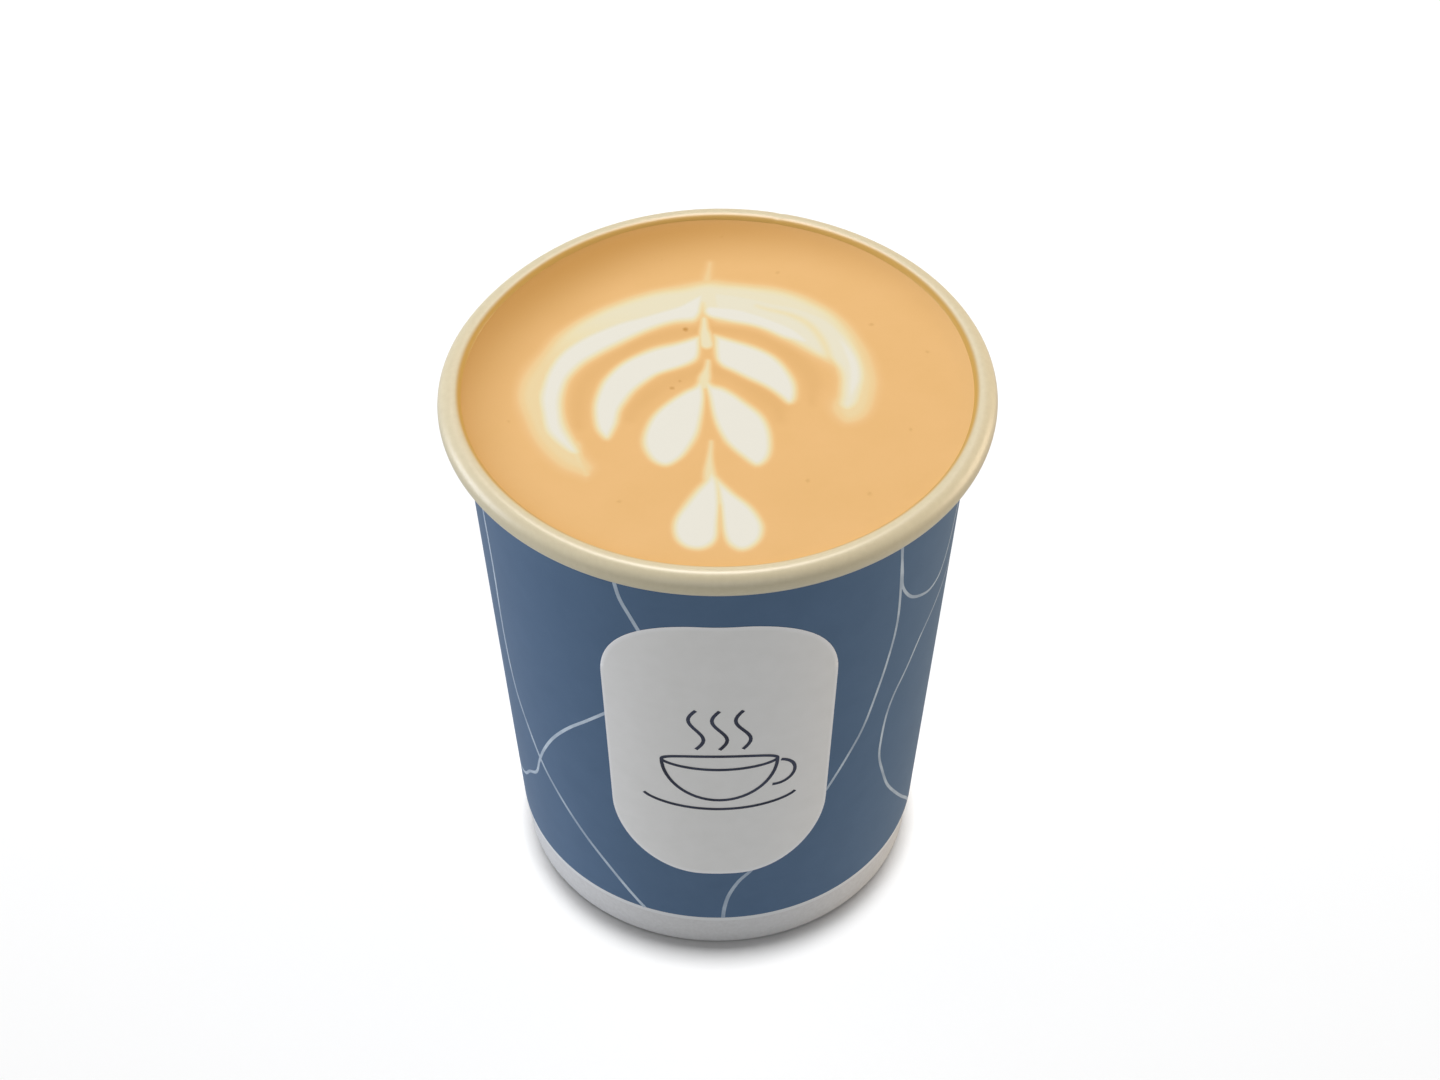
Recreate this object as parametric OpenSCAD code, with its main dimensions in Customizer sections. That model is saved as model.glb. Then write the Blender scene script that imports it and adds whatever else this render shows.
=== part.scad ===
// A small takeaway latte, filled nearly to the brim.
//
// The cup is made as a paper cup is: a sidewall of board whose upper edge is
// curled outwards into the rim, and whose lower edge is folded up inside,
// round the skirt of a base disc. A printed wrap goes round the sidewall, from
// a little above the table to just under the curl.
//
// Millimetres, +Z up, the origin on the table under the middle of the cup.

/* [Cup] */
// Diameter over the curled rim
rim_d = 80; // [74:1:100]
// Height from the table to the top of the rim
cup_h = 91; // [75:1:120]
// Outside diameter of the sidewall at the table
foot_d = 61.2; // [50:0.2:64]
// Thickness of the cup board
board_t = 0.45; // [0.3:0.05:0.6]
// Diameter of the curl's round section
curl_d = 4; // [3.2:0.1:5]
// Height of the base disc's underside above the table
base_rise = 6; // [4:0.5:12]
// Room between the base disc and the edge of the folded hem
hem_gap = 0.8; // [0.2:0.1:2]
// Radius of the two pressed corners of the fold that the cup stands on
fold_r = 0.5; // [0.2:0.05:0.55]

/* [Wrap] */
// Thickness of the printed wrap
wrap_t = 0.35; // [0.2:0.05:0.6]
// Height of the wrap's lower edge above the table
wrap_rise = 6.8; // [3:0.1:20]
// How far the wrap's upper edge reaches up behind the curl
wrap_tuck = 0.6; // [0:0.1:0.8]
// Gap between the curl's free edge and the wrap
curl_gap = 0.3; // [0.1:0.05:0.4]

/* [Drink] */
// Depth of the drink's surface below the top of the rim
drink_drop = 0.8; // [0.4:0.1:3]

/* [Hidden] */
$fn = 180;

board_colour = "#ece4cf";
wrap_colour = "#566c8a";
latte_colour = "#e3b77a";

// The circle that the curl's section follows, and its centre
curl_r = curl_d / 2;
curl_bore_r = curl_r - board_t;
curl_x = rim_d / 2 - curl_r;
curl_z = cup_h - curl_r;

// The sidewall leans out just enough to run into the curl without a kink
reach = curl_x - foot_d / 2;
lean = atan2(reach, curl_z) - asin(curl_bore_r / norm([reach, curl_z]));

// Radius at height z of a cone that lies `out` outside the sidewall's outer
// face, measured square to it: 0 is that face, -board_t the inner face
function cone_r(z, out) = foot_d / 2 + z * tan(lean) + out / cos(lean);

// Centre of a pressed corner of the fold, tangent to the table and to a cone
function fold_centre(out) = [cone_r(fold_r, out), fold_r];

// Points along an arc, with both its ends, at most arc_step degrees apart
arc_step = 6;
function arc(centre, r, from, to) =
    let (steps = ceil(abs(to - from) / arc_step))
    [for (i = [0:steps])
        let (a = from + (to - from) * i / steps)
        centre + r * [cos(a), sin(a)]];

base_top = base_rise + board_t;
hem_top = base_rise - hem_gap;
wrap_top = cup_h - curl_d + wrap_tuck;
drink_top = cup_h - drink_drop;

// The curl starts square to the sidewall and goes round clockwise, until its
// free edge comes within curl_gap of the wrap
curl_centre = [curl_x, curl_z];
curl_start = 180 - lean;
wrap_reach = curl_x - cone_r(wrap_top, wrap_t) - curl_gap;
curl_end = acos(wrap_reach / curl_r) - 180;

// The sidewall in one run: the fold's outer corner, up the outer face, round
// the curl and back, down the inner face, and round the slot for the skirt
module cup_wall()
    color(board_colour) rotate_extrude() polygon(concat(
        arc(fold_centre(-fold_r), fold_r, -90, -lean),
        arc(curl_centre, curl_bore_r, curl_start, curl_end),
        arc(curl_centre, curl_r, curl_end, curl_start),
        [
            [cone_r(board_t, -board_t), board_t],
            [cone_r(board_t, -2 * board_t), board_t],
            [cone_r(hem_top, -2 * board_t), hem_top],
            [cone_r(hem_top, -3 * board_t), hem_top]
        ],
        arc(fold_centre(fold_r - 3 * board_t), fold_r, curl_start, 270)
    ));

// The base disc, with the skirt that the fold holds
module cup_base()
    color(board_colour) rotate_extrude() polygon([
        [0, base_rise],
        [cone_r(base_rise, -2 * board_t), base_rise],
        [cone_r(board_t, -2 * board_t), board_t],
        [cone_r(board_t, -board_t), board_t],
        [cone_r(base_top, -board_t), base_top],
        [0, base_top]
    ]);

// The wrap lies on the sidewall's outer face
module wrap()
    color(wrap_colour) rotate_extrude() polygon([
        [cone_r(wrap_rise, 0), wrap_rise],
        [cone_r(wrap_rise, wrap_t), wrap_rise],
        [cone_r(wrap_top, wrap_t), wrap_top],
        [cone_r(wrap_top, 0), wrap_top]
    ]);

// The drink fills the cup from the base disc up to its surface. Its edge lies
// on the curl's inner side, or on the sidewall where the cup is less full.
module latte() {
    above_curl = drink_top - curl_z;
    on_curl = above_curl > curl_r * sin(lean);
    edge = on_curl
        ? arc(curl_centre, curl_r, curl_start, 180 - asin(above_curl / curl_r))
        : [[cone_r(drink_top, -board_t), drink_top]];
    color(latte_colour) rotate_extrude() polygon(concat(
        [[0, base_top], [cone_r(base_top, -board_t), base_top]],
        edge,
        [[0, drink_top]]
    ));
}

cup_wall();
cup_base();
wrap();
latte();
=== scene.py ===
from math import acos, asin, atan2, ceil, cos, degrees, exp, hypot, pi, radians, sin, sqrt, tan

import bmesh
import bpy
import numpy as np
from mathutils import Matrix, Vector, noise


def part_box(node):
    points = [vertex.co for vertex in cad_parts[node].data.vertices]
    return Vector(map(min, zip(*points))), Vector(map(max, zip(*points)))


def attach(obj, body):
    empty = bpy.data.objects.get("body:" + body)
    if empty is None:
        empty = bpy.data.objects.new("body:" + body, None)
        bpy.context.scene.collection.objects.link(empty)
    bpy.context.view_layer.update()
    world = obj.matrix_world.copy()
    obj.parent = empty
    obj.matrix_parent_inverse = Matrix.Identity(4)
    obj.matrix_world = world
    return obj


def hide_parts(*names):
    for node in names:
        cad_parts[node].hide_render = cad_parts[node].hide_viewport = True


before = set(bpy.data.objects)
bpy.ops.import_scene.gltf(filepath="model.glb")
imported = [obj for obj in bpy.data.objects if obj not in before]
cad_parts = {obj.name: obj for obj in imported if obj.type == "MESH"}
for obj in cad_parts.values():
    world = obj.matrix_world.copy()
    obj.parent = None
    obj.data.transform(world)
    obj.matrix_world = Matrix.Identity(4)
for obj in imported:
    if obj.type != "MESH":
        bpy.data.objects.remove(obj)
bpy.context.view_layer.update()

# ---- Sidewall --------------------------------------------------------------
# A blank of paper board, coated inside with cream plastic and lapped into a
# cone. Its upper edge is rolled outwards into the rim, and its lower edge is
# folded up inside, round the base disc, so the cup stands on that fold.
# Outlines are drawn in millimetres, as (radius, height) round the cup's axis.
MM = 0.001
wall_low, wall_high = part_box("cup_wall")
rim_r = min(-wall_low.x, -wall_low.y, wall_high.x, wall_high.y) / MM
cup_h = wall_high.z / MM
base_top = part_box("latte")[0].z / MM
wrap_low, wrap_high = (corner.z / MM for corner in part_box("wrap"))
foot_r = 30.6
board_t = 0.45
curl_r = 2.0
hem_gap = 0.8
fold_r = 0.5
wrap_t = 0.35
curl_gap = 0.3
arc_step = 6
merge_gap = 1e-4

curl_bore_r = curl_r - board_t
curl_x = rim_r - curl_r
curl_z = cup_h - curl_r
wall_reach = curl_x - foot_r
lean = atan2(wall_reach, curl_z) - asin(curl_bore_r / hypot(wall_reach, curl_z))
hem_top = base_top - board_t - hem_gap


def cone_r(z, out):
    """Radius at height z of the cone that lies `out` outside the sidewall's outer face."""
    return foot_r + z * tan(lean) + out / cos(lean)


def arc(centre, r, start, end):
    """Points along an arc with both its ends, its angles in radians."""
    steps = ceil(abs(end - start) / radians(arc_step))
    angles = [start + (end - start) * i / steps for i in range(steps + 1)]
    return [(centre[0] + r * cos(a), centre[1] + r * sin(a)) for a in angles]


def between(a, b, parts):
    """The points that cut the straight run from a to b into equal parts, without its ends."""
    shares = [i / parts for i in range(1, parts)]
    return [(a[0] + (b[0] - a[0]) * t, a[1] + (b[1] - a[1]) * t) for t in shares]


def spin_outline(outline, steps, closed=True):
    """Spin an outline of (radius, height) once round the axis into a closed skin."""
    bm = bmesh.new()
    verts = [bm.verts.new((r, 0, z)) for r, z in outline]
    ends = verts[1:] + verts[:1] if closed else verts[1:]
    edges = [bm.edges.new(pair) for pair in zip(verts, ends)]
    bmesh.ops.spin(bm, geom=verts + edges, cent=(0, 0, 0), axis=(0, 0, 1), angle=2 * pi,
                   steps=steps, use_merge=True)
    bmesh.ops.remove_doubles(bm, verts=bm.verts, dist=merge_gap)
    bmesh.ops.recalc_face_normals(bm, faces=bm.faces)
    return bm


def bearing(x, y):
    """Degrees round the cup, from 0 at the front through 90 at +X, up to 360."""
    return degrees(atan2(x, -y)) % 360


# The hand that set the cup down squeezed it a little, at the back on the left
squeeze_depth = 1.0
squeeze_bearing = 232
squeeze_spread = 22


def squeeze(bm):
    """Press the cup in where it was held: most at the rim, and nothing at the foot."""
    for v in bm.verts:
        r = hypot(v.co.x, v.co.y)
        if r < board_t:
            continue
        turn = (bearing(v.co.x, v.co.y) - squeeze_bearing) / squeeze_spread
        depth = squeeze_depth * exp(-turn ** 2 / 2) * (v.co.z / cup_h) ** 2 * r / rim_r
        v.co.x -= depth * v.co.x / r
        v.co.y -= depth * v.co.y / r


def make_piece(name, bm, *materials, crease=35):
    """Squeeze a mesh drawn in millimetres, bring it to metres and make it an object.
    Edges that turn by more than `crease` degrees stay sharp."""
    squeeze(bm)
    bmesh.ops.scale(bm, vec=(MM, MM, MM), verts=bm.verts)
    mesh = bpy.data.meshes.new(name)
    bm.to_mesh(mesh)
    bm.free()
    mesh.shade_smooth()
    mesh.set_sharp_from_angle(angle=radians(crease))
    for material in materials:
        mesh.materials.append(material)
    piece = bpy.data.objects.new(name, mesh)
    bpy.context.scene.collection.objects.link(piece)
    return piece


def rgb(hex_colour):
    """An sRGB hex colour as the linear colour that a shader takes."""
    parts = [int(hex_colour[i:i + 2], 16) / 255 for i in (1, 3, 5)]
    return [p / 12.92 if p <= 0.04045 else ((p + 0.055) / 1.055) ** 2.4 for p in parts] + [1]


def add_node(tree, kind, inputs, **settings):
    """Add a node, with its settings, and give its inputs their values or links."""
    node = tree.nodes.new(kind)
    for name, value in settings.items():
        setattr(node, name, value)
    fill_inputs(tree, node, inputs)
    return node


def fill_inputs(tree, node, inputs):
    for key, value in inputs.items():
        if isinstance(value, bpy.types.NodeSocket):
            tree.links.new(value, node.inputs[key])
        else:
            node.inputs[key].default_value = value


def new_material(name, **settings):
    """A material with its Principled shader's constant values set."""
    material = bpy.data.materials.new(name)
    material.use_nodes = True
    shader = material.node_tree.nodes["Principled BSDF"]
    names = {key.replace("_", " ").title().replace("Ior", "IOR"): v for key, v in settings.items()}
    fill_inputs(material.node_tree, shader, names)
    return material, material.node_tree, shader


def place_on_piece(tree):
    """Where a point is on its piece, in metres."""
    return add_node(tree, "ShaderNodeTexCoord", {}).outputs["Object"]


def pattern_scale(size):
    """Texture scale whose features are about `size` millimetres across."""
    return 1 / (size * MM)


def mottle(tree, size, detail, roughness=0.5):
    """The strength of a cloudy pattern, its features about `size` millimetres across."""
    clouds = add_node(tree, "ShaderNodeTexNoise", {
        "Vector": place_on_piece(tree), "Scale": pattern_scale(size), "Detail": detail,
        "Roughness": roughness})
    return clouds.outputs["Fac"]


def painted(tree, layer):
    """The value that a layer of the mesh has at each point."""
    return add_node(tree, "ShaderNodeAttribute", {}, attribute_name=layer).outputs["Fac"]


def blend(tree, share, a, b):
    """The colour that lies `share` of the way from a to b."""
    mix = add_node(tree, "ShaderNodeMix", {"Factor": share, "A": a, "B": b}, data_type="RGBA")
    return mix.outputs["Result"]


def relief(tree, height, strength, depth):
    """Normals that follow the height of a pattern, `depth` millimetres deep."""
    bump = add_node(tree, "ShaderNodeBump", {
        "Strength": strength, "Distance": depth * MM, "Height": height})
    return bump.outputs["Normal"]


# Cream coated board: satin, with the fibres showing faintly through the film
def coated_board():
    material, tree, shader = new_material("coated cup board", roughness=0.33, specular_ior_level=0.5)
    fibres = mottle(tree, 0.9, detail=4, roughness=0.6)
    cream = blend(tree, fibres, rgb("#d6cbac"), rgb("#e2d8ba"))
    # Ochre over the cream: coffee stain, with painted shade and a painted reflection of the coffee
    stained_and_shaded = blend(tree, painted(tree, "coffee_stain_and_shade"), cream, rgb("#caa154"))
    bump = relief(tree, fibres, strength=0.25, depth=0.03)
    fill_inputs(tree, shader, {"Base Color": stained_and_shaded, "Normal": bump})
    return material


# Uncoated white board: matt, greyer than the coating, with a faint rough grain
def plain_board():
    material, tree, shader = new_material("uncoated cup board", roughness=0.75, specular_ior_level=0.3)
    pulp = mottle(tree, 0.7, detail=5, roughness=0.65)
    white = blend(tree, pulp, rgb("#cfcfcf"), rgb("#e9eaec"))
    bump = relief(tree, pulp, strength=0.5, depth=0.06)
    fill_inputs(tree, shader, {"Base Color": white, "Normal": bump})
    return material


def fold_corner(out):
    return cone_r(fold_r, out), fold_r


curl_centre = (curl_x, curl_z)
curl_start = pi - lean
curl_end = acos((curl_x - cone_r(wrap_high, wrap_t) - curl_gap) / curl_r) - pi
wall_parts = 14
wall_steps = 360
outer_fold = arc(fold_corner(-fold_r), fold_r, -pi / 2, -lean)
curl_bore = arc(curl_centre, curl_bore_r, curl_start, curl_end)
curl_face = arc(curl_centre, curl_r, curl_end, curl_start)
inner_foot = (cone_r(board_t, -board_t), board_t)
slot = [
    (cone_r(board_t, -2 * board_t), board_t),
    (cone_r(hem_top, -2 * board_t), hem_top),
    (cone_r(hem_top, -3 * board_t), hem_top),
]
inner_fold = arc(fold_corner(fold_r - 3 * board_t), fold_r, curl_start, 3 * pi / 2)
wall_bm = spin_outline(
    outer_fold + between(outer_fold[-1], curl_bore[0], wall_parts) + curl_bore
    + curl_face + between(curl_face[-1], inner_foot, wall_parts) + [inner_foot] + slot + inner_fold,
    wall_steps)

# The rolled edge is never quite true, and one shallow dip shows where the
# blank laps over itself
roll_wave = 0.05
seam_bearing = 166
seam_spread = 0.9
seam_dip = 0.10
for v in wall_bm.verts:
    turn = bearing(v.co.x, v.co.y)
    on_curl = max(0, (v.co.z - (cup_h - 2 * curl_r)) / (2 * curl_r))
    wave = 1 + sin(radians(3 * turn + 40)) * sin(radians(5 * turn))
    dip = exp(-((turn - seam_bearing) / seam_spread) ** 2)
    v.co.z -= on_curl * roll_wave * wave
    v.co.z -= on_curl * seam_dip * dip

# Coffee stains the coating just above the drink, less so along the front, and the ochre there is also
# painted shade and a painted reflection of the coffee.
# The lower half of the board is bare, and shows only round the foot.
stain_and_shade_layer = wall_bm.verts.layers.float.new("coffee_stain_and_shade")
stain_shade_inset = 0.75
stain_shade_lean = 0.35
stain_shade_fade = 0.5
for v in wall_bm.verts:
    r = hypot(v.co.x, v.co.y)
    turn = bearing(v.co.x, v.co.y)
    stain_shade_r = curl_x - stain_shade_inset - stain_shade_lean * cos(radians(turn))
    v[stain_and_shade_layer] = min(1, max(0, (stain_shade_r - r) / stain_shade_fade + 0.5))
for f in wall_bm.faces:
    f.material_index = int(f.calc_center_median().z < cup_h / 2)
sidewall = make_piece("sidewall", wall_bm, coated_board(), plain_board())
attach(sidewall, "root")
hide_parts("cup_wall")

# ---- Base disc -------------------------------------------------------------
# A disc of the same board, pressed into a shallow tray with its skirt down.
# The fold of the sidewall is sealed round that skirt, and only the disc's
# bare underside shows, up inside the foot.
base_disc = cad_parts["cup_base"]
base_disc.data.materials.clear()
base_disc.data.materials.append(bpy.data.materials["uncoated cup board"])

# ---- Wrap ------------------------------------------------------------------
# A second layer of paper, printed blue with a satin varnish, glued round the
# sidewall with its ends overlapping at the back. The print stops just short
# of the lower edge and leaves a narrow margin of bare white paper.
wrap_overlap = radians(9)
lap_start = pi + wrap_overlap / 2
lap_rise = radians(2)
margin = 0.5


def grid_sheet(columns, rows, place):
    """A sheet of columns by rows faces, each corner put at place(u, v), with u and v from 0 to 1."""
    bm = bmesh.new()
    bmesh.ops.create_grid(bm, x_segments=columns, y_segments=rows, size=0.5)
    for v in bm.verts:
        v.co = place(v.co.x + 0.5, v.co.y + 0.5)
    return bm


def on_wrap(turn, z, proud):
    """The point `proud` outside the wrap's printed face, `turn` radians round from the front."""
    r = cone_r(z, wrap_t + proud)
    return Vector((r * sin(turn), -r * cos(turn), z))


def lap_lift(turn):
    """How far the wrap stands off where it rises over its own other end, and laps it."""
    past = turn - lap_start
    return wrap_t * min(1, max(0, past / lap_rise + 1)) if past < wrap_overlap else 0


def wrap_place(u, v):
    turn = lap_start - 2 * pi + u * (2 * pi + wrap_overlap)
    return on_wrap(turn, wrap_low + v * (wrap_high - wrap_low), lap_lift(turn))


# One column for each degree, so that the rise of the lap starts and ends on one
wrap_columns = round(degrees(2 * pi + wrap_overlap))
wrap_rows = 24
ply_t = 0.96 * wrap_t
wrap_bm = grid_sheet(wrap_columns, wrap_rows, wrap_place)
bmesh.ops.solidify(wrap_bm, geom=wrap_bm.faces[:], thickness=ply_t)

# The cut edges show the paper's white core
edge_facing = 0.5
wrap_bm.normal_update()
for f in wrap_bm.faces:
    middle = f.calc_center_median()
    facing_out = f.normal.dot(Vector((middle.x, middle.y, 0)).normalized())
    f.material_index = int(abs(facing_out) < edge_facing)


# Blue ink on coated paper: satin, faintly mottled where the pulp takes more ink
def printed_paper():
    material, tree, shader = new_material(
        "blue printed paper", roughness=0.5, specular_ior_level=0.3)
    ink = blend(tree, mottle(tree, 5, detail=6, roughness=0.6), rgb("#4c6989"), rgb("#567394"))
    height = add_node(tree, "ShaderNodeSeparateXYZ", {"Vector": place_on_piece(tree)}).outputs["Z"]
    printed = add_node(tree, "ShaderNodeMath", {0: height, 1: (wrap_low + margin) * MM},
                       operation="GREATER_THAN")
    colour = blend(tree, printed.outputs["Value"], rgb("#e6e8ea"), ink)
    bump = relief(tree, mottle(tree, 0.5, detail=3), strength=0.2, depth=0.02)
    fill_inputs(tree, shader, {"Base Color": colour, "Normal": bump})
    return material


wrap = make_piece(
    "printed_wrap", wrap_bm, printed_paper(), bpy.data.materials["uncoated cup board"])
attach(wrap, "root")
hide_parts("wrap")

# ---- Label field -----------------------------------------------------------
# A plain field with well rounded corners at the front of the wrap, where the
# print is an opaque white. It is a film of ink, a few hundredths thick.
label_turn = radians(0.6)
label_half_w = 17.0
label_half_h = 29.3
label_corner = 14.4
label_mid_z = 48.6
label_cells = 64

# The inks lie one over another: the thin lines, then the label, then the drawing
ink_t = 0.03
lines_proud = ink_t
label_proud = 2 * ink_t
drawing_proud = 3 * ink_t


def label_edge_at(across, up):
    """Where a ray from the label's middle meets its outline: a rectangle with round corners."""
    x, z = across * label_half_w, up * label_half_h
    past_x, past_z = abs(x) - (label_half_w - label_corner), abs(z) - (label_half_h - label_corner)
    if past_x > 0 and past_z > 0:
        pull = label_corner / hypot(past_x, past_z)
        x -= (past_x - past_x * pull) * (1 if x > 0 else -1)
        z -= (past_z - past_z * pull) * (1 if z > 0 else -1)
    return x, z


def label_place(u, v):
    """Draw the square's rings in to the label's outline, and lay them on the wrap."""
    across, up = 2 * u - 1, 2 * v - 1
    ring = max(abs(across), abs(up))
    x, z = label_edge_at(across / ring, up / ring) if ring > 0 else (0, 0)
    turn = label_turn + x * ring / cone_r(label_mid_z, wrap_t)
    return on_wrap(turn, label_mid_z + z * ring, label_proud)


label_bm = grid_sheet(label_cells, label_cells, label_place)

# The outermost ring of the field, where the ink has dried in a bead
edge_layer = label_bm.verts.layers.float.new("edge")
label_rim = {v for e in label_bm.edges if e.is_boundary for v in e.verts}
for v in label_rim:
    v[edge_layer] = 1
bmesh.ops.solidify(label_bm, geom=label_bm.faces[:], thickness=ink_t)


# Opaque white ink: matt, with a slightly brighter bead where the ink edge dried
def white_ink():
    material, tree, shader = new_material("white print", roughness=0.6, specular_ior_level=0.35)
    field = blend(tree, mottle(tree, 3, detail=5), rgb("#eeeeec"), rgb("#f6f6f5"))
    colour = blend(tree, painted(tree, "edge"), field, rgb("#fdfdff"))
    fill_inputs(tree, shader, {"Base Color": colour})
    return material


label = make_piece("label_field", label_bm, white_ink())
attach(label, "root")

# ---- Thin lines of print ---------------------------------------------------
# Thin pale lines wander over the blue, some of them passing behind the label.
# Each is a strip of ink along a smooth curve through a few points, given as
# (degrees round from the front, height), with its width in millimetres.
pale_lines = [
    (0.6, [(-23, 87), (-22.6, 84.7), (-21.5, 81.2), (-19.4, 78), (-17, 74.5)]),
    (0.5, [(-27, 54.6), (-33.7, 50), (-40, 45.6), (-46.3, 40.3), (-51.6, 34.7), (-55.2, 30),
           (-58.4, 25.3), (-64, 22), (-70, 18), (-80, 15.5), (-95, 16)]),
    (0.6, [(-67.5, 87), (-66.9, 84), (-66, 69), (-66.5, 53), (-64.2, 42.5), (-58.9, 35.6), (-53.7, 30),
           (-48.4, 26.2), (-40, 20.6), (-31.5, 15), (-23.1, 8.8), (-21, wrap_low + margin)]),
    (0.6, [(9.6, 20.5), (9, 19.4), (5.8, 16.9), (3.2, 13.4), (2, 10), (1.6, wrap_low + margin)]),
    (0.5, [(44.1, 87), (44.3, 84.7), (44.8, 81.9), (45.9, 77.5), (46.9, 73.8), (50.6, 70),
           (55.9, 67.5), (61.1, 66.2), (66.4, 66.8), (71, 71), (74, 78), (75, 87)]),
    (0.5, [(44.2, 87), (44.6, 84), (46.4, 71.2), (46.4, 65), (44.8, 58.8), (42.2, 52.5), (39, 46.2),
           (34.8, 41.2), (29, 35)]),
    (0.5, [(86, 66), (79, 64.5), (72, 62), (66, 60), (59, 56.9), (53.8, 52.5), (49.6, 48.8), (47.5, 45),
           (46.7, 40), (46.9, 35.6), (49, 31.2), (52.7, 25.6), (58, 20.6), (64.3, 15.6), (70.6, 11.2),
           (76, wrap_low + margin)]),
    (0.5, [(86, 66), (97, 67), (109, 63), (118, 54), (122, 42), (119, 31), (124, 20),
           (134, 12), (141, wrap_low + margin)]),
    (0.5, [(150, 87), (153, 76), (161, 66), (172, 60), (183, 55), (190, 46), (191, 35), (198, 25),
           (210, 18), (224, 17), (237, 21), (250, 20), (265, 16)]),
    (0.5, [(209, 87), (206, 77), (209, 66), (219, 57), (231, 50), (238, 40), (236, 28), (229, 18),
           (226, wrap_low + margin)]),
]
line_pitch = 0.3


def curve_through(points, pitch):
    """Points along a smooth curve from the first given point to the last, about `pitch` apart."""
    points = [np.array(p, float) for p in points]
    padded = [2 * points[0] - points[1]] + points + [2 * points[-1] - points[-2]]
    path = []
    for before, a, b, after in zip(padded, padded[1:], padded[2:], padded[3:]):
        steps = max(2, ceil(np.linalg.norm(b - a) / pitch))
        for i in range(steps):
            t = i / steps
            path.append(0.5 * (2 * a + (b - before) * t + (2 * before - 5 * a + 4 * b - after) * t ** 2
                               + (3 * a - before - 3 * b + after) * t ** 3))
    return np.array(path + [points[-1]])


def add_strip(bm, path, width, proud):
    """Lay a strip of ink of one width along a path of (millimetres round, height) on the wrap."""
    along = np.gradient(path, axis=0)
    along /= np.linalg.norm(along, axis=1)[:, None]
    side = np.stack([-along[:, 1], along[:, 0]], axis=1) * width
    parts = len(path) - 1
    strip = bmesh.ops.create_grid(bm, x_segments=parts, y_segments=1, size=0.5)["verts"]
    for v in strip:
        i = round((v.co.x + 0.5) * parts)
        s, z = path[i] + side[i] * v.co.y
        turn = s / cone_r(z, wrap_t)
        v.co = on_wrap(turn, z, proud + lap_lift(turn))
    faces = list({f for v in strip for f in v.link_faces})
    bmesh.ops.solidify(bm, geom=faces, thickness=ink_t)


def unrolled(points):
    """(degrees, height) points as (millimetres round, height), on the wrap laid flat."""
    return [(radians(turn) * cone_r(z, wrap_t), z) for turn, z in points]


lines_bm = bmesh.new()
for width, points in pale_lines:
    add_strip(lines_bm, curve_through(unrolled(points), line_pitch), width, lines_proud)


def tinted_ink(name, light, dark):
    """Matt ink, a little uneven along its length, as a thin printed line is."""
    material, tree, shader = new_material(name, roughness=0.55, specular_ior_level=0.35)
    spread = add_node(tree, "ShaderNodeMapRange", {
        "Value": mottle(tree, 6, detail=3), "From Min": 0.35, "From Max": 0.65})
    colour = blend(tree, spread.outputs["Result"], rgb(dark), rgb(light))
    fill_inputs(tree, shader, {"Base Color": colour})
    return material


lines = make_piece("pale_lines", lines_bm, tinted_ink("pale blue print", "#c9d8e6", "#9fb0c4"))
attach(lines, "root")

# ---- Drawing on the label --------------------------------------------------
# A plain line drawing in dark ink, of a steaming cup on its saucer. It stands
# on the white field, and each stroke is a strip of ink about half a millimetre wide.
drawing_width = 0.55
drawing_z = label_mid_z - 1.5
bowl_r = 8.5
bowl_depth = 9.0
mouth_up = 1.6
handle_r = 2.9
handle_inset = 0.2
handle_drop = 3.4
saucer_half = 11.5
saucer_up = 2.6
saucer_drop = 8.6
steam_foot = 3.2
steam_h = 9.0
steam_sway = 1.1
steam_gap = 3.4
steam_points = 17


def drawn_arc(centre, across, up, start, end):
    """An arc of an ellipse in the plane of the label, its angles in degrees."""
    steps = ceil(abs(end - start) / arc_step)
    angles = [radians(start + (end - start) * i / steps) for i in range(steps + 1)]
    return [(centre[0] + across * cos(a), centre[1] + up * sin(a)) for a in angles]


def steam(x):
    """One wavy line of steam that rises from the cup."""
    shares = np.linspace(0, 1, steam_points)
    return [(x + steam_sway * sin(t * 2 * pi), steam_foot + t * steam_h) for t in shares]


strokes = [
    drawn_arc((0, 0), bowl_r, bowl_depth, 180, 360),
    drawn_arc((0, 0), bowl_r, mouth_up, 0, 360),
    drawn_arc((bowl_r - handle_inset, -handle_drop), handle_r, handle_r, 75, -100),
    drawn_arc((0, -saucer_drop), saucer_half, saucer_up, 190, 350),
    steam(-steam_gap),
    steam(0),
    steam(steam_gap),
]
drawing_bm = bmesh.new()
label_s = label_turn * cone_r(drawing_z, wrap_t)
for stroke in strokes:
    path = np.array(stroke) + (label_s, drawing_z)
    add_strip(drawing_bm, path, drawing_width, drawing_proud)
drawing = make_piece("cup_drawing", drawing_bm, tinted_ink("dark print", "#3c4258", "#2a2f42"))
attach(drawing, "root")

# ---- Latte -----------------------------------------------------------------
# Espresso and steamed milk, filled to the curl. The foam on top carries a
# poured leaf: milk pushed in folds through the crema, then drawn through from
# the back to the front, which pulls the folds into points along a stem.
drink_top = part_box("latte")[1].z / MM
meniscus = 0.22
meniscus_reach = 0.9
into_wall = 0.12
edge_z = drink_top + meniscus
edge_r = curl_x - sqrt(curl_r ** 2 - (edge_z - curl_z) ** 2) + into_wall
side_parts = 5
rings = 116
spokes = 600

surface = []
for i in range(rings + 1):
    r = edge_r * (1 - i / rings)
    surface.append((r, drink_top + meniscus * exp((r - edge_r) / meniscus_reach)))
side_low = (cone_r(base_top, -board_t) + into_wall, base_top)
side_high = (cone_r(curl_z, -board_t) + into_wall, curl_z)
latte_bm = spin_outline(
    [(0, base_top), side_low] + between(side_low, side_high, side_parts) + [side_high] + surface,
    spokes, closed=False)

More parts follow.
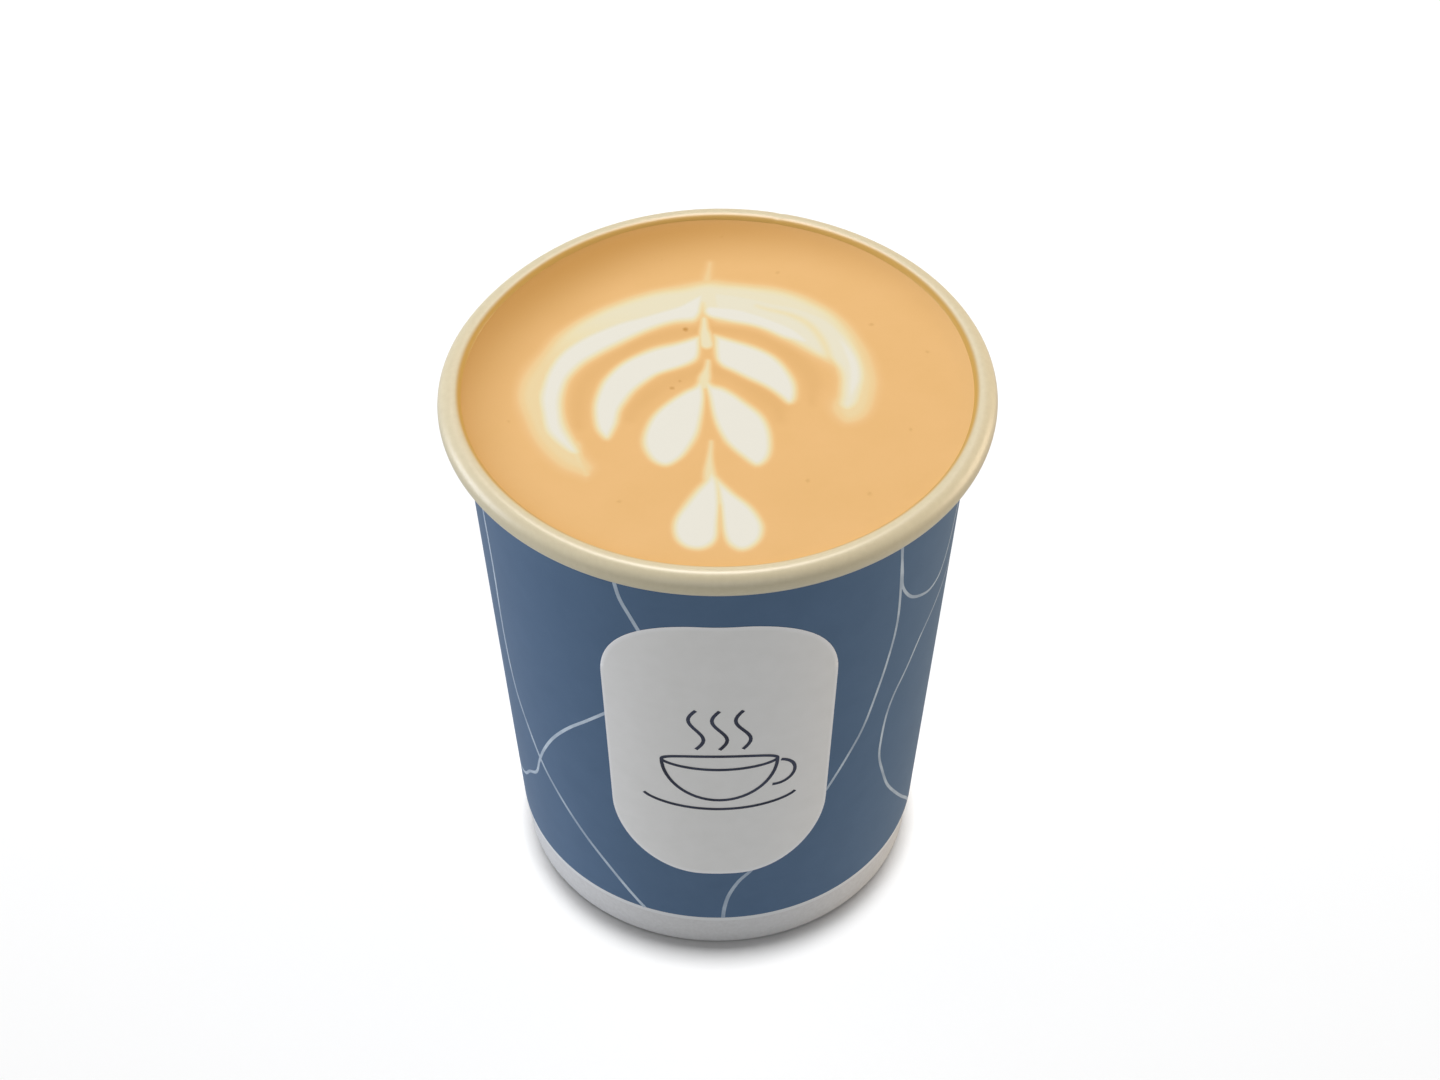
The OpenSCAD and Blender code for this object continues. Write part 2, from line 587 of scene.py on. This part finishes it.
# Shapes of milk on the surface, in millimetres right and back of the middle.
# Each blob is the smooth outline through its points; each streak is a soft
# line through (right, back, half width).
fold_halo = [
    (-18, -19.4), (-21.4, -17.4), (-23.9, -14.6), (-26, -11), (-27.6, -7.4), (-28.4, -3.4), (-28.4, 0.4),
    (-27.4, 3.6), (-25.8, 7), (-24, 10.2), (-21.4, 13.4), (-18.2, 16.2), (-15, 18.2), (-10, 20.4),
    (-5, 21.7), (-1.5, 22.8), (1.5, 22.2), (5, 21.6), (10, 20.4), (14, 18.1), (17, 15.4), (19.5, 12),
    (21.3, 8), (22.5, 4), (22.9, 0), (22.3, -4), (20.6, -7.4), (18.2, -8.4), (16.6, -6.6), (16.2, -4.4),
    (17, -1.6), (17, 1.6), (16, 4), (14, 5.8), (12, 7.4), (10, 9.2), (7.5, 10.9), (5, 12.3), (2.4, 13),
    (0.2, 13.4), (-1.6, 14.4), (-3.4, 13.4), (-6, 13.1), (-10, 11.5), (-12.6, 9.9), (-15, 8),
    (-17.6, 5.8), (-20, 3.2), (-21.4, 0), (-21.7, -5), (-20.7, -10), (-18.2, -15), (-17, -17.6)]
left_fold = [
    (-1.7, 15.4), (-3, 13.8), (-6, 13.2), (-10, 11.6), (-12.6, 10), (-15, 8.2), (-17.6, 6), (-20, 3.4),
    (-21.5, 0), (-21.8, -5), (-20.9, -10), (-19, -14.2), (-20.4, -14.6), (-22.8, -12.2), (-24.4, -9),
    (-25.3, -5), (-25.4, 0), (-24.4, 4), (-22.6, 7.6), (-20, 10.5), (-17.5, 12.4), (-14, 14.4),
    (-10, 16), (-6, 17.6), (-1.8, 20.4)]
second_left = [
    (-2.4, 10.3), (-5, 9.3), (-8, 8.5), (-10.2, 7.4), (-12.7, 5.7), (-14.7, 3.6), (-16.2, 0.9),
    (-17, -2), (-17.4, -5), (-17.2, -8), (-16.5, -10.3), (-15.1, -11.6), (-14.1, -9), (-13.6, -6.2),
    (-12.9, -4), (-11.9, -1.7), (-10, 0.4), (-8.4, 1.9), (-6, 3.1), (-4.3, 4.1), (-2.9, 5.4),
    (-2.4, 7.4)]
second_right = [
    (-0.5, 10.4), (2, 9.3), (5, 8.1), (7.6, 6.4), (9.6, 4), (10.7, 1.4), (11.3, -1.2), (11, -3.4),
    (10.1, -4.2), (8.9, -2.7), (7.5, -1.2), (5.9, 0.1), (4, 1.4), (2, 2.8), (0.6, 3.8), (-0.3, 5.2),
    (-0.5, 7.4)]
left_leaf = [
    (-2, 2), (-2.9, -0.4), (-4.6, -1.6), (-6.7, -3.4), (-8.6, -5.8), (-9.9, -8.4), (-10.4, -11),
    (-10.1, -13.6), (-8.9, -15.9), (-7, -16.8), (-5.1, -15.5), (-3.6, -13), (-2.4, -10), (-1.9, -6),
    (-1.7, -2)]
right_leaf = [
    (-1.5, 2), (-0.7, -0.3), (0.9, -1.1), (3.1, -2.8), (5.1, -4.9), (6.8, -7.5), (7.6, -10.5),
    (7.5, -13.6), (6.7, -16), (5.2, -16.9), (3.3, -15), (1.4, -12.5), (0.3, -10), (-0.5, -7),
    (-1.1, -3.6), (-1.5, -1)]
left_lobe = [
    (-0.8, -17.6), (-1.5, -19.8), (-2.9, -21.9), (-4.3, -24.4), (-5.5, -27), (-5.9, -29.2),
    (-5.5, -31.2), (-4.1, -32.8), (-2.3, -33.2), (-0.8, -32.5), (0.1, -31), (0.3, -28), (0.4, -24),
    (0.2, -20)]
right_lobe = [
    (-0.8, -17.6), (0.4, -19.8), (2, -21.7), (3.9, -24.1), (5.4, -26.5), (6.1, -29), (5.7, -31.5),
    (4.3, -33.1), (2.8, -33.4), (1.3, -32.2), (0.7, -30), (0.5, -27), (0.3, -24), (-0.2, -20)]
right_fold = [
    (-0.9, 14.2), (2.4, 13.3), (5, 12.5), (7.5, 11.2), (10, 9.5), (12, 7.8), (14, 6.2), (15.6, 5),
    (16.9, 3.4), (17.4, 1), (17.2, -2), (17, -4.6), (18.4, -5.9), (20, -4.4), (21, -1.4), (21.4, 2),
    (21, 5.6), (20, 9), (18.2, 12.4), (15.6, 15.2), (12, 17.4), (8, 18.8), (4, 19.8), (-0.9, 20.6)]
right_fold_outer = [(17.4, 10.4, 0.6), (18.8, 7.4, 1.0), (19.5, 4, 1.2), (19.5, 0.4, 1.2), (18.8, -2.8, 0.7)]
right_fold_inner = [
    (-0.8, 15.8, 1.4), (2, 15.1, 1.6), (5, 14.2, 1.5), (8, 12.7, 1.4), (10.6, 11, 1.3), (12.6, 9.3, 0.8)]
right_fold_line = [
    (5.6, 17, 0.1), (10.2, 15.2, 0.35), (13.4, 12.5, 0.5), (15.4, 9, 0.5), (16.4, 5.6, 0.4), (16.8, 3, 0.1)]
tail_left = [(-20, -13, 1.0), (-19.2, -16, 0.8), (-18, -18.6, 0.4)]
stem_tip = [(-1.2, 26.8, 0.3), (-1.4, 24.4, 0.5), (-1.5, 22, 0.9), (-1.6, 20, 1.0)]
stem_gap_line = [(-1.9, 14.2, 0.4), (-1.9, 12, 0.55), (-1.7, 10.4, 0.8), (-1.5, 8.4, 0.9)]
stem_low_line = [(-1.4, 5, 0.3), (-1.5, 3.2, 0.5), (-1.7, 1.4, 0.9), (-1.8, -0.4, 0.9)]
stem_front_line = [(-0.8, -12, 0.25), (-0.9, -15, 0.45), (-0.9, -18, 0.8), (-0.8, -20, 1.0)]
spear_back = [(-1.9, 17.6, 0.1), (-2, 15.8, 0.5), (-2, 14.4, 0.9), (-1.9, 13.2, 1.2)]
spear_mid = [(-1.5, 9.6, 0.2), (-1.5, 7.4, 0.7), (-1.5, 5, 1.1), (-1.5, 3, 1.9)]
spear_leaf = [(-1.6, -1.4, 0.1), (-1.4, -4, 0.25), (-1.1, -7, 0.4), (-0.9, -9.4, 0.7), (-0.8, -11.6, 1.2)]
notch = [(0.4, -25, 0.05), (0.45, -27.6, 0.2), (0.5, -30.4, 0.35), (0.5, -33.2, 0.8)]
gaps = [
    (-19.6, -9, 1.0), (-19.4, -3, 1.1), (-18.2, 1.8, 1.2), (-15, 6, 1.2), (-10, 9.6, 1.1), (-5, 11.2, 1.0),
    (-1, 11.8, 1.0), (4, 10.8, 1.0), (8.4, 8.4, 1.1), (12, 4.4, 1.4), (13.6, 0, 1.3), (13.4, -4, 0.6)]
low_gaps = [
    (-12.4, -7.4, 0.8), (-10.8, -3.6, 1.2), (-7.4, 0, 1.3), (-4.4, 1.8, 1.2), (-1.5, 3.4, 1.0),
    (1.4, 1.6, 1.1), (4.6, -0.8, 1.2), (8, -4, 1.3), (9, -7.4, 0.8)]


# The pitch of points along a shape's outline or line. Right on its edge, a blob
# or a streak is this far on the way from none to full.
shape_pitch = 0.8
blob_edge = 0.42
streak_edge = 0.5


def soft_step(x):
    """A smooth rise from 0 at 0 to 1 at 1."""
    x = np.clip(x, 0, 1)
    return x * x * (3 - 2 * x)


def near(spots, line, reach):
    """The places in spots that lie within reach of a line's own box."""
    inside_box = (spots > line.min(axis=0) - reach) & (spots < line.max(axis=0) + reach)
    return np.flatnonzero(inside_box.all(axis=1))


def blob(spots, points, blur):
    """How far inside a closed smooth outline each spot lies: 0 outside to 1 inside."""
    outline = curve_through(points + points[:1], shape_pitch)
    chosen = near(spots, outline, blur)
    p = spots[chosen]
    nearest = np.full(len(p), np.inf)
    inside = np.zeros(len(p), bool)
    for a, b in zip(outline, outline[1:]):
        along = b - a
        share = np.clip((p - a) @ along / (along @ along), 0, 1)
        nearest = np.minimum(nearest, np.linalg.norm(p - a - share[:, None] * along, axis=1))
        crossed = (p[:, 1] < a[1]) != (p[:, 1] < b[1])
        run = along[0] / along[1] if along[1] else 0
        inside ^= crossed & (p[:, 0] < a[0] + (p[:, 1] - a[1]) * run)
    amount = np.zeros(len(spots))
    amount[chosen] = soft_step(np.where(inside, nearest, -nearest) / blur + blob_edge)
    return amount


def streak(spots, points, blur):
    """How far inside a soft line of varying width each spot lies: 0 to 1."""
    path = curve_through(points, shape_pitch)
    chosen = near(spots, path[:, :2], blur + path[:, 2].max())
    p = spots[chosen]
    deepest = np.full(len(p), -np.inf)
    for a, b in zip(path, path[1:]):
        along = b[:2] - a[:2]
        share = np.clip((p - a[:2]) @ along / (along @ along), 0, 1)
        away = np.linalg.norm(p - a[:2] - share[:, None] * along, axis=1)
        deepest = np.maximum(deepest, a[2] + (b[2] - a[2]) * share - away)
    amount = np.zeros(len(spots))
    amount[chosen] = soft_step(deepest / blur + streak_edge)
    return amount


def strongest(kind, shapes):
    """The most that any of some blobs or streaks adds at each spot of the surface."""
    return np.max([share * kind(spots, points, blur) for share, points, blur in shapes], axis=0)


# A smooth wander of the surface's spots keeps the poured edges from being true.
# Its seed is fixed, because this noise otherwise starts from the clock.
drift_size = 5
drift_reach = 0.35
drift_seed = 1
noise.seed_set(drift_seed)


def drift(x, y):
    wander = noise.noise_vector((x / drift_size, y / drift_size, 0))
    return x + wander.x * drift_reach, y + wander.y * drift_reach


milk_layer = latte_bm.verts.layers.float.new("milk")
# The layer dark holds painted shade along the wall, with the darker gaps and the specks
dark_layer = latte_bm.verts.layers.float.new("dark")
top_verts = [v for v in latte_bm.verts if v.co.z > drink_top - into_wall]
spots = np.array([drift(v.co.x, v.co.y) for v in top_verts])

# Each shape below is (strength, its points, how soft its edge is), and where
# some overlap the strongest shows. Thin milk reaches past the two big folds,
# more of it towards the back.
halo_front = 0.42
halo_gain = 0.26
halo_from = 3
halo_rise = 14
halo_blur = 3.4
backward = soft_step((spots[:, 1] - halo_from) / halo_rise)
halo = (halo_front + halo_gain * backward) * blob(spots, fold_halo, halo_blur)
fine = 2.2
bright_blobs = [
    (1.0, left_fold, 3.0), (0.76, right_fold, 2.8), (1.0, second_left, fine), (1.0, second_right, fine),
    (1.0, left_leaf, fine), (1.0, right_leaf, fine), (1.0, left_lobe, fine), (1.0, right_lobe, fine)]
bright_streaks = [
    (0.9, right_fold_outer, 2.2), (0.96, right_fold_inner, 2.2), (0.5, tail_left, 2.4)]
bright = np.maximum(strongest(blob, bright_blobs), strongest(streak, bright_streaks))

# Lines of crema cut through the milk, and threads of milk join its points
cut = strongest(streak, [
    (0.42, spear_back, 1.3), (0.62, spear_mid, 1.5), (0.6, spear_leaf, 1.0), (0.5, notch, 1.0),
    (0.34, right_fold_line, 1.4)])
threads = strongest(streak, [
    (0.32, stem_tip, 1.8), (0.62, stem_gap_line, 1.2), (0.55, stem_low_line, 1.2),
    (0.5, stem_front_line, 1.2)])
milk = np.maximum(np.maximum(halo, bright) * (1 - cut), threads)

# A band of painted shade darkens the crema along the wall, widest and darkest at the back
# on the left, and the crema is also a little darker in the gaps between the folds
band_bearing = 215
band_from = 0.99
band_width = 0.36
band_least = 0.15
reach_in = np.array([hypot(v.co.x, v.co.y) / edge_r for v in top_verts])
turns = np.array([bearing(v.co.x, v.co.y) for v in top_verts])
leaning = 0.5 + 0.5 * np.cos(np.radians(turns - band_bearing))
painted_wall_shade = soft_step((reach_in - (band_from - band_width * leaning)) / band_width)
dark = painted_wall_shade * (band_least + (1 - band_least) * leaning)
dark = np.maximum(dark, strongest(streak, [(0.16, gaps, 2.2), (0.16, low_gaps, 2.4)]))

# Specks of crema and burst bubbles: (right, back, radius) and how dark
specks = [
    (-4.6, 11.8, 0.4, 1.0), (-6.4, -0.9, 0.3, 0.8), (-5.2, 0.6, 0.25, 0.6), (0.6, 33, 0.3, 0.8),
    (-32, 13, 0.3, 0.6), (-24.6, 20, 0.22, 0.6), (8.9, 24.5, 0.22, 0.5), (22.4, 12.6, 0.25, 0.5),
    (27, -9.5, 0.2, 0.5), (12.4, -20, 0.22, 0.5), (-13.5, -24, 0.2, 0.5), (21, -22.4, 0.25, 0.4),
    (-29.5, -8, 0.2, 0.5), (-8.4, 27.6, 0.22, 0.5), (30.4, 6.8, 0.2, 0.5)]
speck_blur = 0.5
for x, y, size, depth in specks:
    away = np.hypot(spots[:, 0] - x, spots[:, 1] - y)
    spot = soft_step((size - away) / speck_blur + 0.5)
    dark = np.maximum(dark, depth * spot)
    milk = milk * (1 - spot)

for v, m, d in zip(top_verts, milk, dark):
    v[milk_layer] = m
    v[dark_layer] = d


# Foam: fine wet bubbles in milk and coffee oils. It is satin rather than
# glossy, smooth in colour, with specks where larger bubbles have burst.
def latte_foam():
    material, tree, shader = new_material(
        "latte foam", roughness=0.5, specular_ior_level=0.3, ior=1.35)
    milk = painted(tree, "milk")
    crema = blend(tree, mottle(tree, 9, detail=5, roughness=0.55), rgb("#e3b675"), rgb("#eabd80"))
    # Darker crema: painted shade along the wall, with the darker gaps and the specks
    shaded = blend(tree, painted(tree, "dark"), crema, rgb("#c29049"))
    pour = add_node(tree, "ShaderNodeValToRGB", {"Fac": milk})
    thin_milk, full_milk = pour.color_ramp.elements
    thin_milk.position = 0.12
    thin_milk.color = rgb("#ebc48b")
    full_milk.position = 0.92
    full_milk.color = rgb("#e5e5dc")
    for share, shade in ((0.35, "#e9cf9b"), (0.55, "#e7ddb6"), (0.75, "#e4e1cc")):
        pour.color_ramp.elements.new(share).color = rgb(shade)
    poured = add_node(tree, "ShaderNodeMapRange", {"Value": milk, "From Min": 0.0, "From Max": 0.25})
    colour = blend(tree, poured.outputs["Result"], shaded, pour.outputs["Color"])
    froth = add_node(tree, "ShaderNodeTexVoronoi", {
        "Vector": place_on_piece(tree), "Scale": pattern_scale(0.55)}, feature="SMOOTH_F1")
    bump = relief(tree, froth.outputs["Distance"], strength=0.12, depth=0.05)
    fill_inputs(tree, shader, {"Base Color": colour, "Normal": bump})
    return material


latte = make_piece("latte_drink", latte_bm, latte_foam(), crease=50)
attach(latte, "root")
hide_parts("latte")

# ---- Floor, light and camera ----------------------------------------------
# A white table with no edge in sight. The light comes mostly from overhead
# and behind, as by a window, and the table throws some of it back up.
bpy.context.scene.view_settings.view_transform = "Standard"
floor_half = 3.0
floor_mesh = bpy.data.meshes.new("table_top")
floor_bm = bmesh.new()
bmesh.ops.create_grid(floor_bm, x_segments=2, y_segments=2, size=floor_half)
floor_bm.to_mesh(floor_mesh)
floor_bm.free()
table_top = bpy.data.objects.new("table_top", floor_mesh)
bpy.context.scene.collection.objects.link(table_top)


# White laminate: matt and even. To all but the camera it is greyer, so that it
# throws little light up onto the cup's shaded side. Past glow_from metres from
# the cup the camera sees it lit more and more, so that no horizon shows.
glow_from = 0.3
glow_full = 1.0


def camera_sees(tree):
    """1 where the camera looks at the thing itself, 0 where only its light is worked out."""
    return add_node(tree, "ShaderNodeLightPath", {}).outputs["Is Camera Ray"]


def laminate():
    material, tree, shader = new_material("white laminate", roughness=0.9, specular_ior_level=0.1)
    place = place_on_piece(tree)
    haze = add_node(tree, "ShaderNodeTexNoise", {"Vector": place, "Scale": 3.0})
    white = blend(tree, haze.outputs["Fac"], rgb("#fbfbfb"), rgb("#ffffff"))
    seen = camera_sees(tree)
    tone = blend(tree, seen, rgb("#bababa"), white)
    away = add_node(tree, "ShaderNodeVectorMath", {0: place}, operation="LENGTH")
    glow = add_node(tree, "ShaderNodeMapRange", {
        "Value": away.outputs["Value"], "From Min": glow_from, "From Max": glow_full})
    shown = add_node(tree, "ShaderNodeMath", {0: glow.outputs["Result"], 1: seen}, operation="MULTIPLY")
    fill_inputs(tree, shader, {"Base Color": tone, "Emission Strength": shown.outputs["Value"]})
    return material


floor_mesh.materials.append(laminate())

# The room is white where the camera looks at it, and lights the cup with grey
world = bpy.data.worlds.new("pale room")
world.use_nodes = True
room = world.node_tree
bpy.context.scene.world = world
tone = blend(room, camera_sees(room), rgb("#707070"), rgb("#ffffff"))
fill_inputs(room, room.nodes["Background"], {"Color": tone, "Strength": 1.0})

aim_share = 0.7
aim = Vector((0, 0, cup_h * aim_share)) * MM
cup_and_drink = bpy.data.collections.new("cup and drink")
for piece in (sidewall, base_disc, wrap, label, lines, drawing, latte):
    cup_and_drink.objects.link(piece)
table_alone = bpy.data.collections.new("table")
table_alone.objects.link(table_top)
foot_alone = bpy.data.collections.new("foot")
foot_alone.objects.link(base_disc)


def softbox(name, place, width, power, colour, lit, shading=None):
    """A square lamp that faces the cup, its place in metres. It lights what is in
    `lit`, where everything casts shadows, or only what is in `shading`."""
    lamp = bpy.data.lights.new(name, "AREA")
    lamp.size = width
    lamp.energy = power
    lamp.color = rgb(colour)[:3]
    holder = bpy.data.objects.new(name, lamp)
    bpy.context.scene.collection.objects.link(holder)
    holder.location = place
    holder.rotation_euler = (aim - Vector(place)).to_track_quat("-Z", "Y").to_euler()
    holder.light_linking.receiver_collection = lit
    if shading:
        holder.light_linking.blocker_collection = shading


softbox("high_behind", (-0.04, 0.5, 1.15), 0.4, 9.4, "#fffaf4", cup_and_drink)
softbox("front_fill", (0.0, -0.9, 0.5), 0.8, 2.2, "#ffffff", cup_and_drink)
softbox("over_the_table", (0.0, 0.5, 1.1), 0.7, 15.5, "#ffffff", table_alone, foot_alone)
softbox("left_side", (-0.88, 0.14, 0.28), 0.5, 5.2, "#f2f6ff", cup_and_drink)
softbox("right_side", (0.86, 0.26, 0.28), 0.5, 4.4, "#ffe9cc", cup_and_drink)

# The camera stands in front of the cup and looks down into it
camera_distance = 442.2
camera_elevation = radians(45.165)
camera_aside = 0.42
camera_target_z = 58.6
camera_data = bpy.data.cameras.new("camera")
camera_data.sensor_width = 36
camera_data.lens = 73.7
camera = bpy.data.objects.new("camera", camera_data)
bpy.context.scene.collection.objects.link(camera)
camera.location = Vector((
    camera_aside,
    -camera_distance * cos(camera_elevation),
    camera_target_z + camera_distance * sin(camera_elevation))) * MM
camera.rotation_euler = (pi / 2 - camera_elevation, 0, 0)
bpy.context.scene.camera = camera
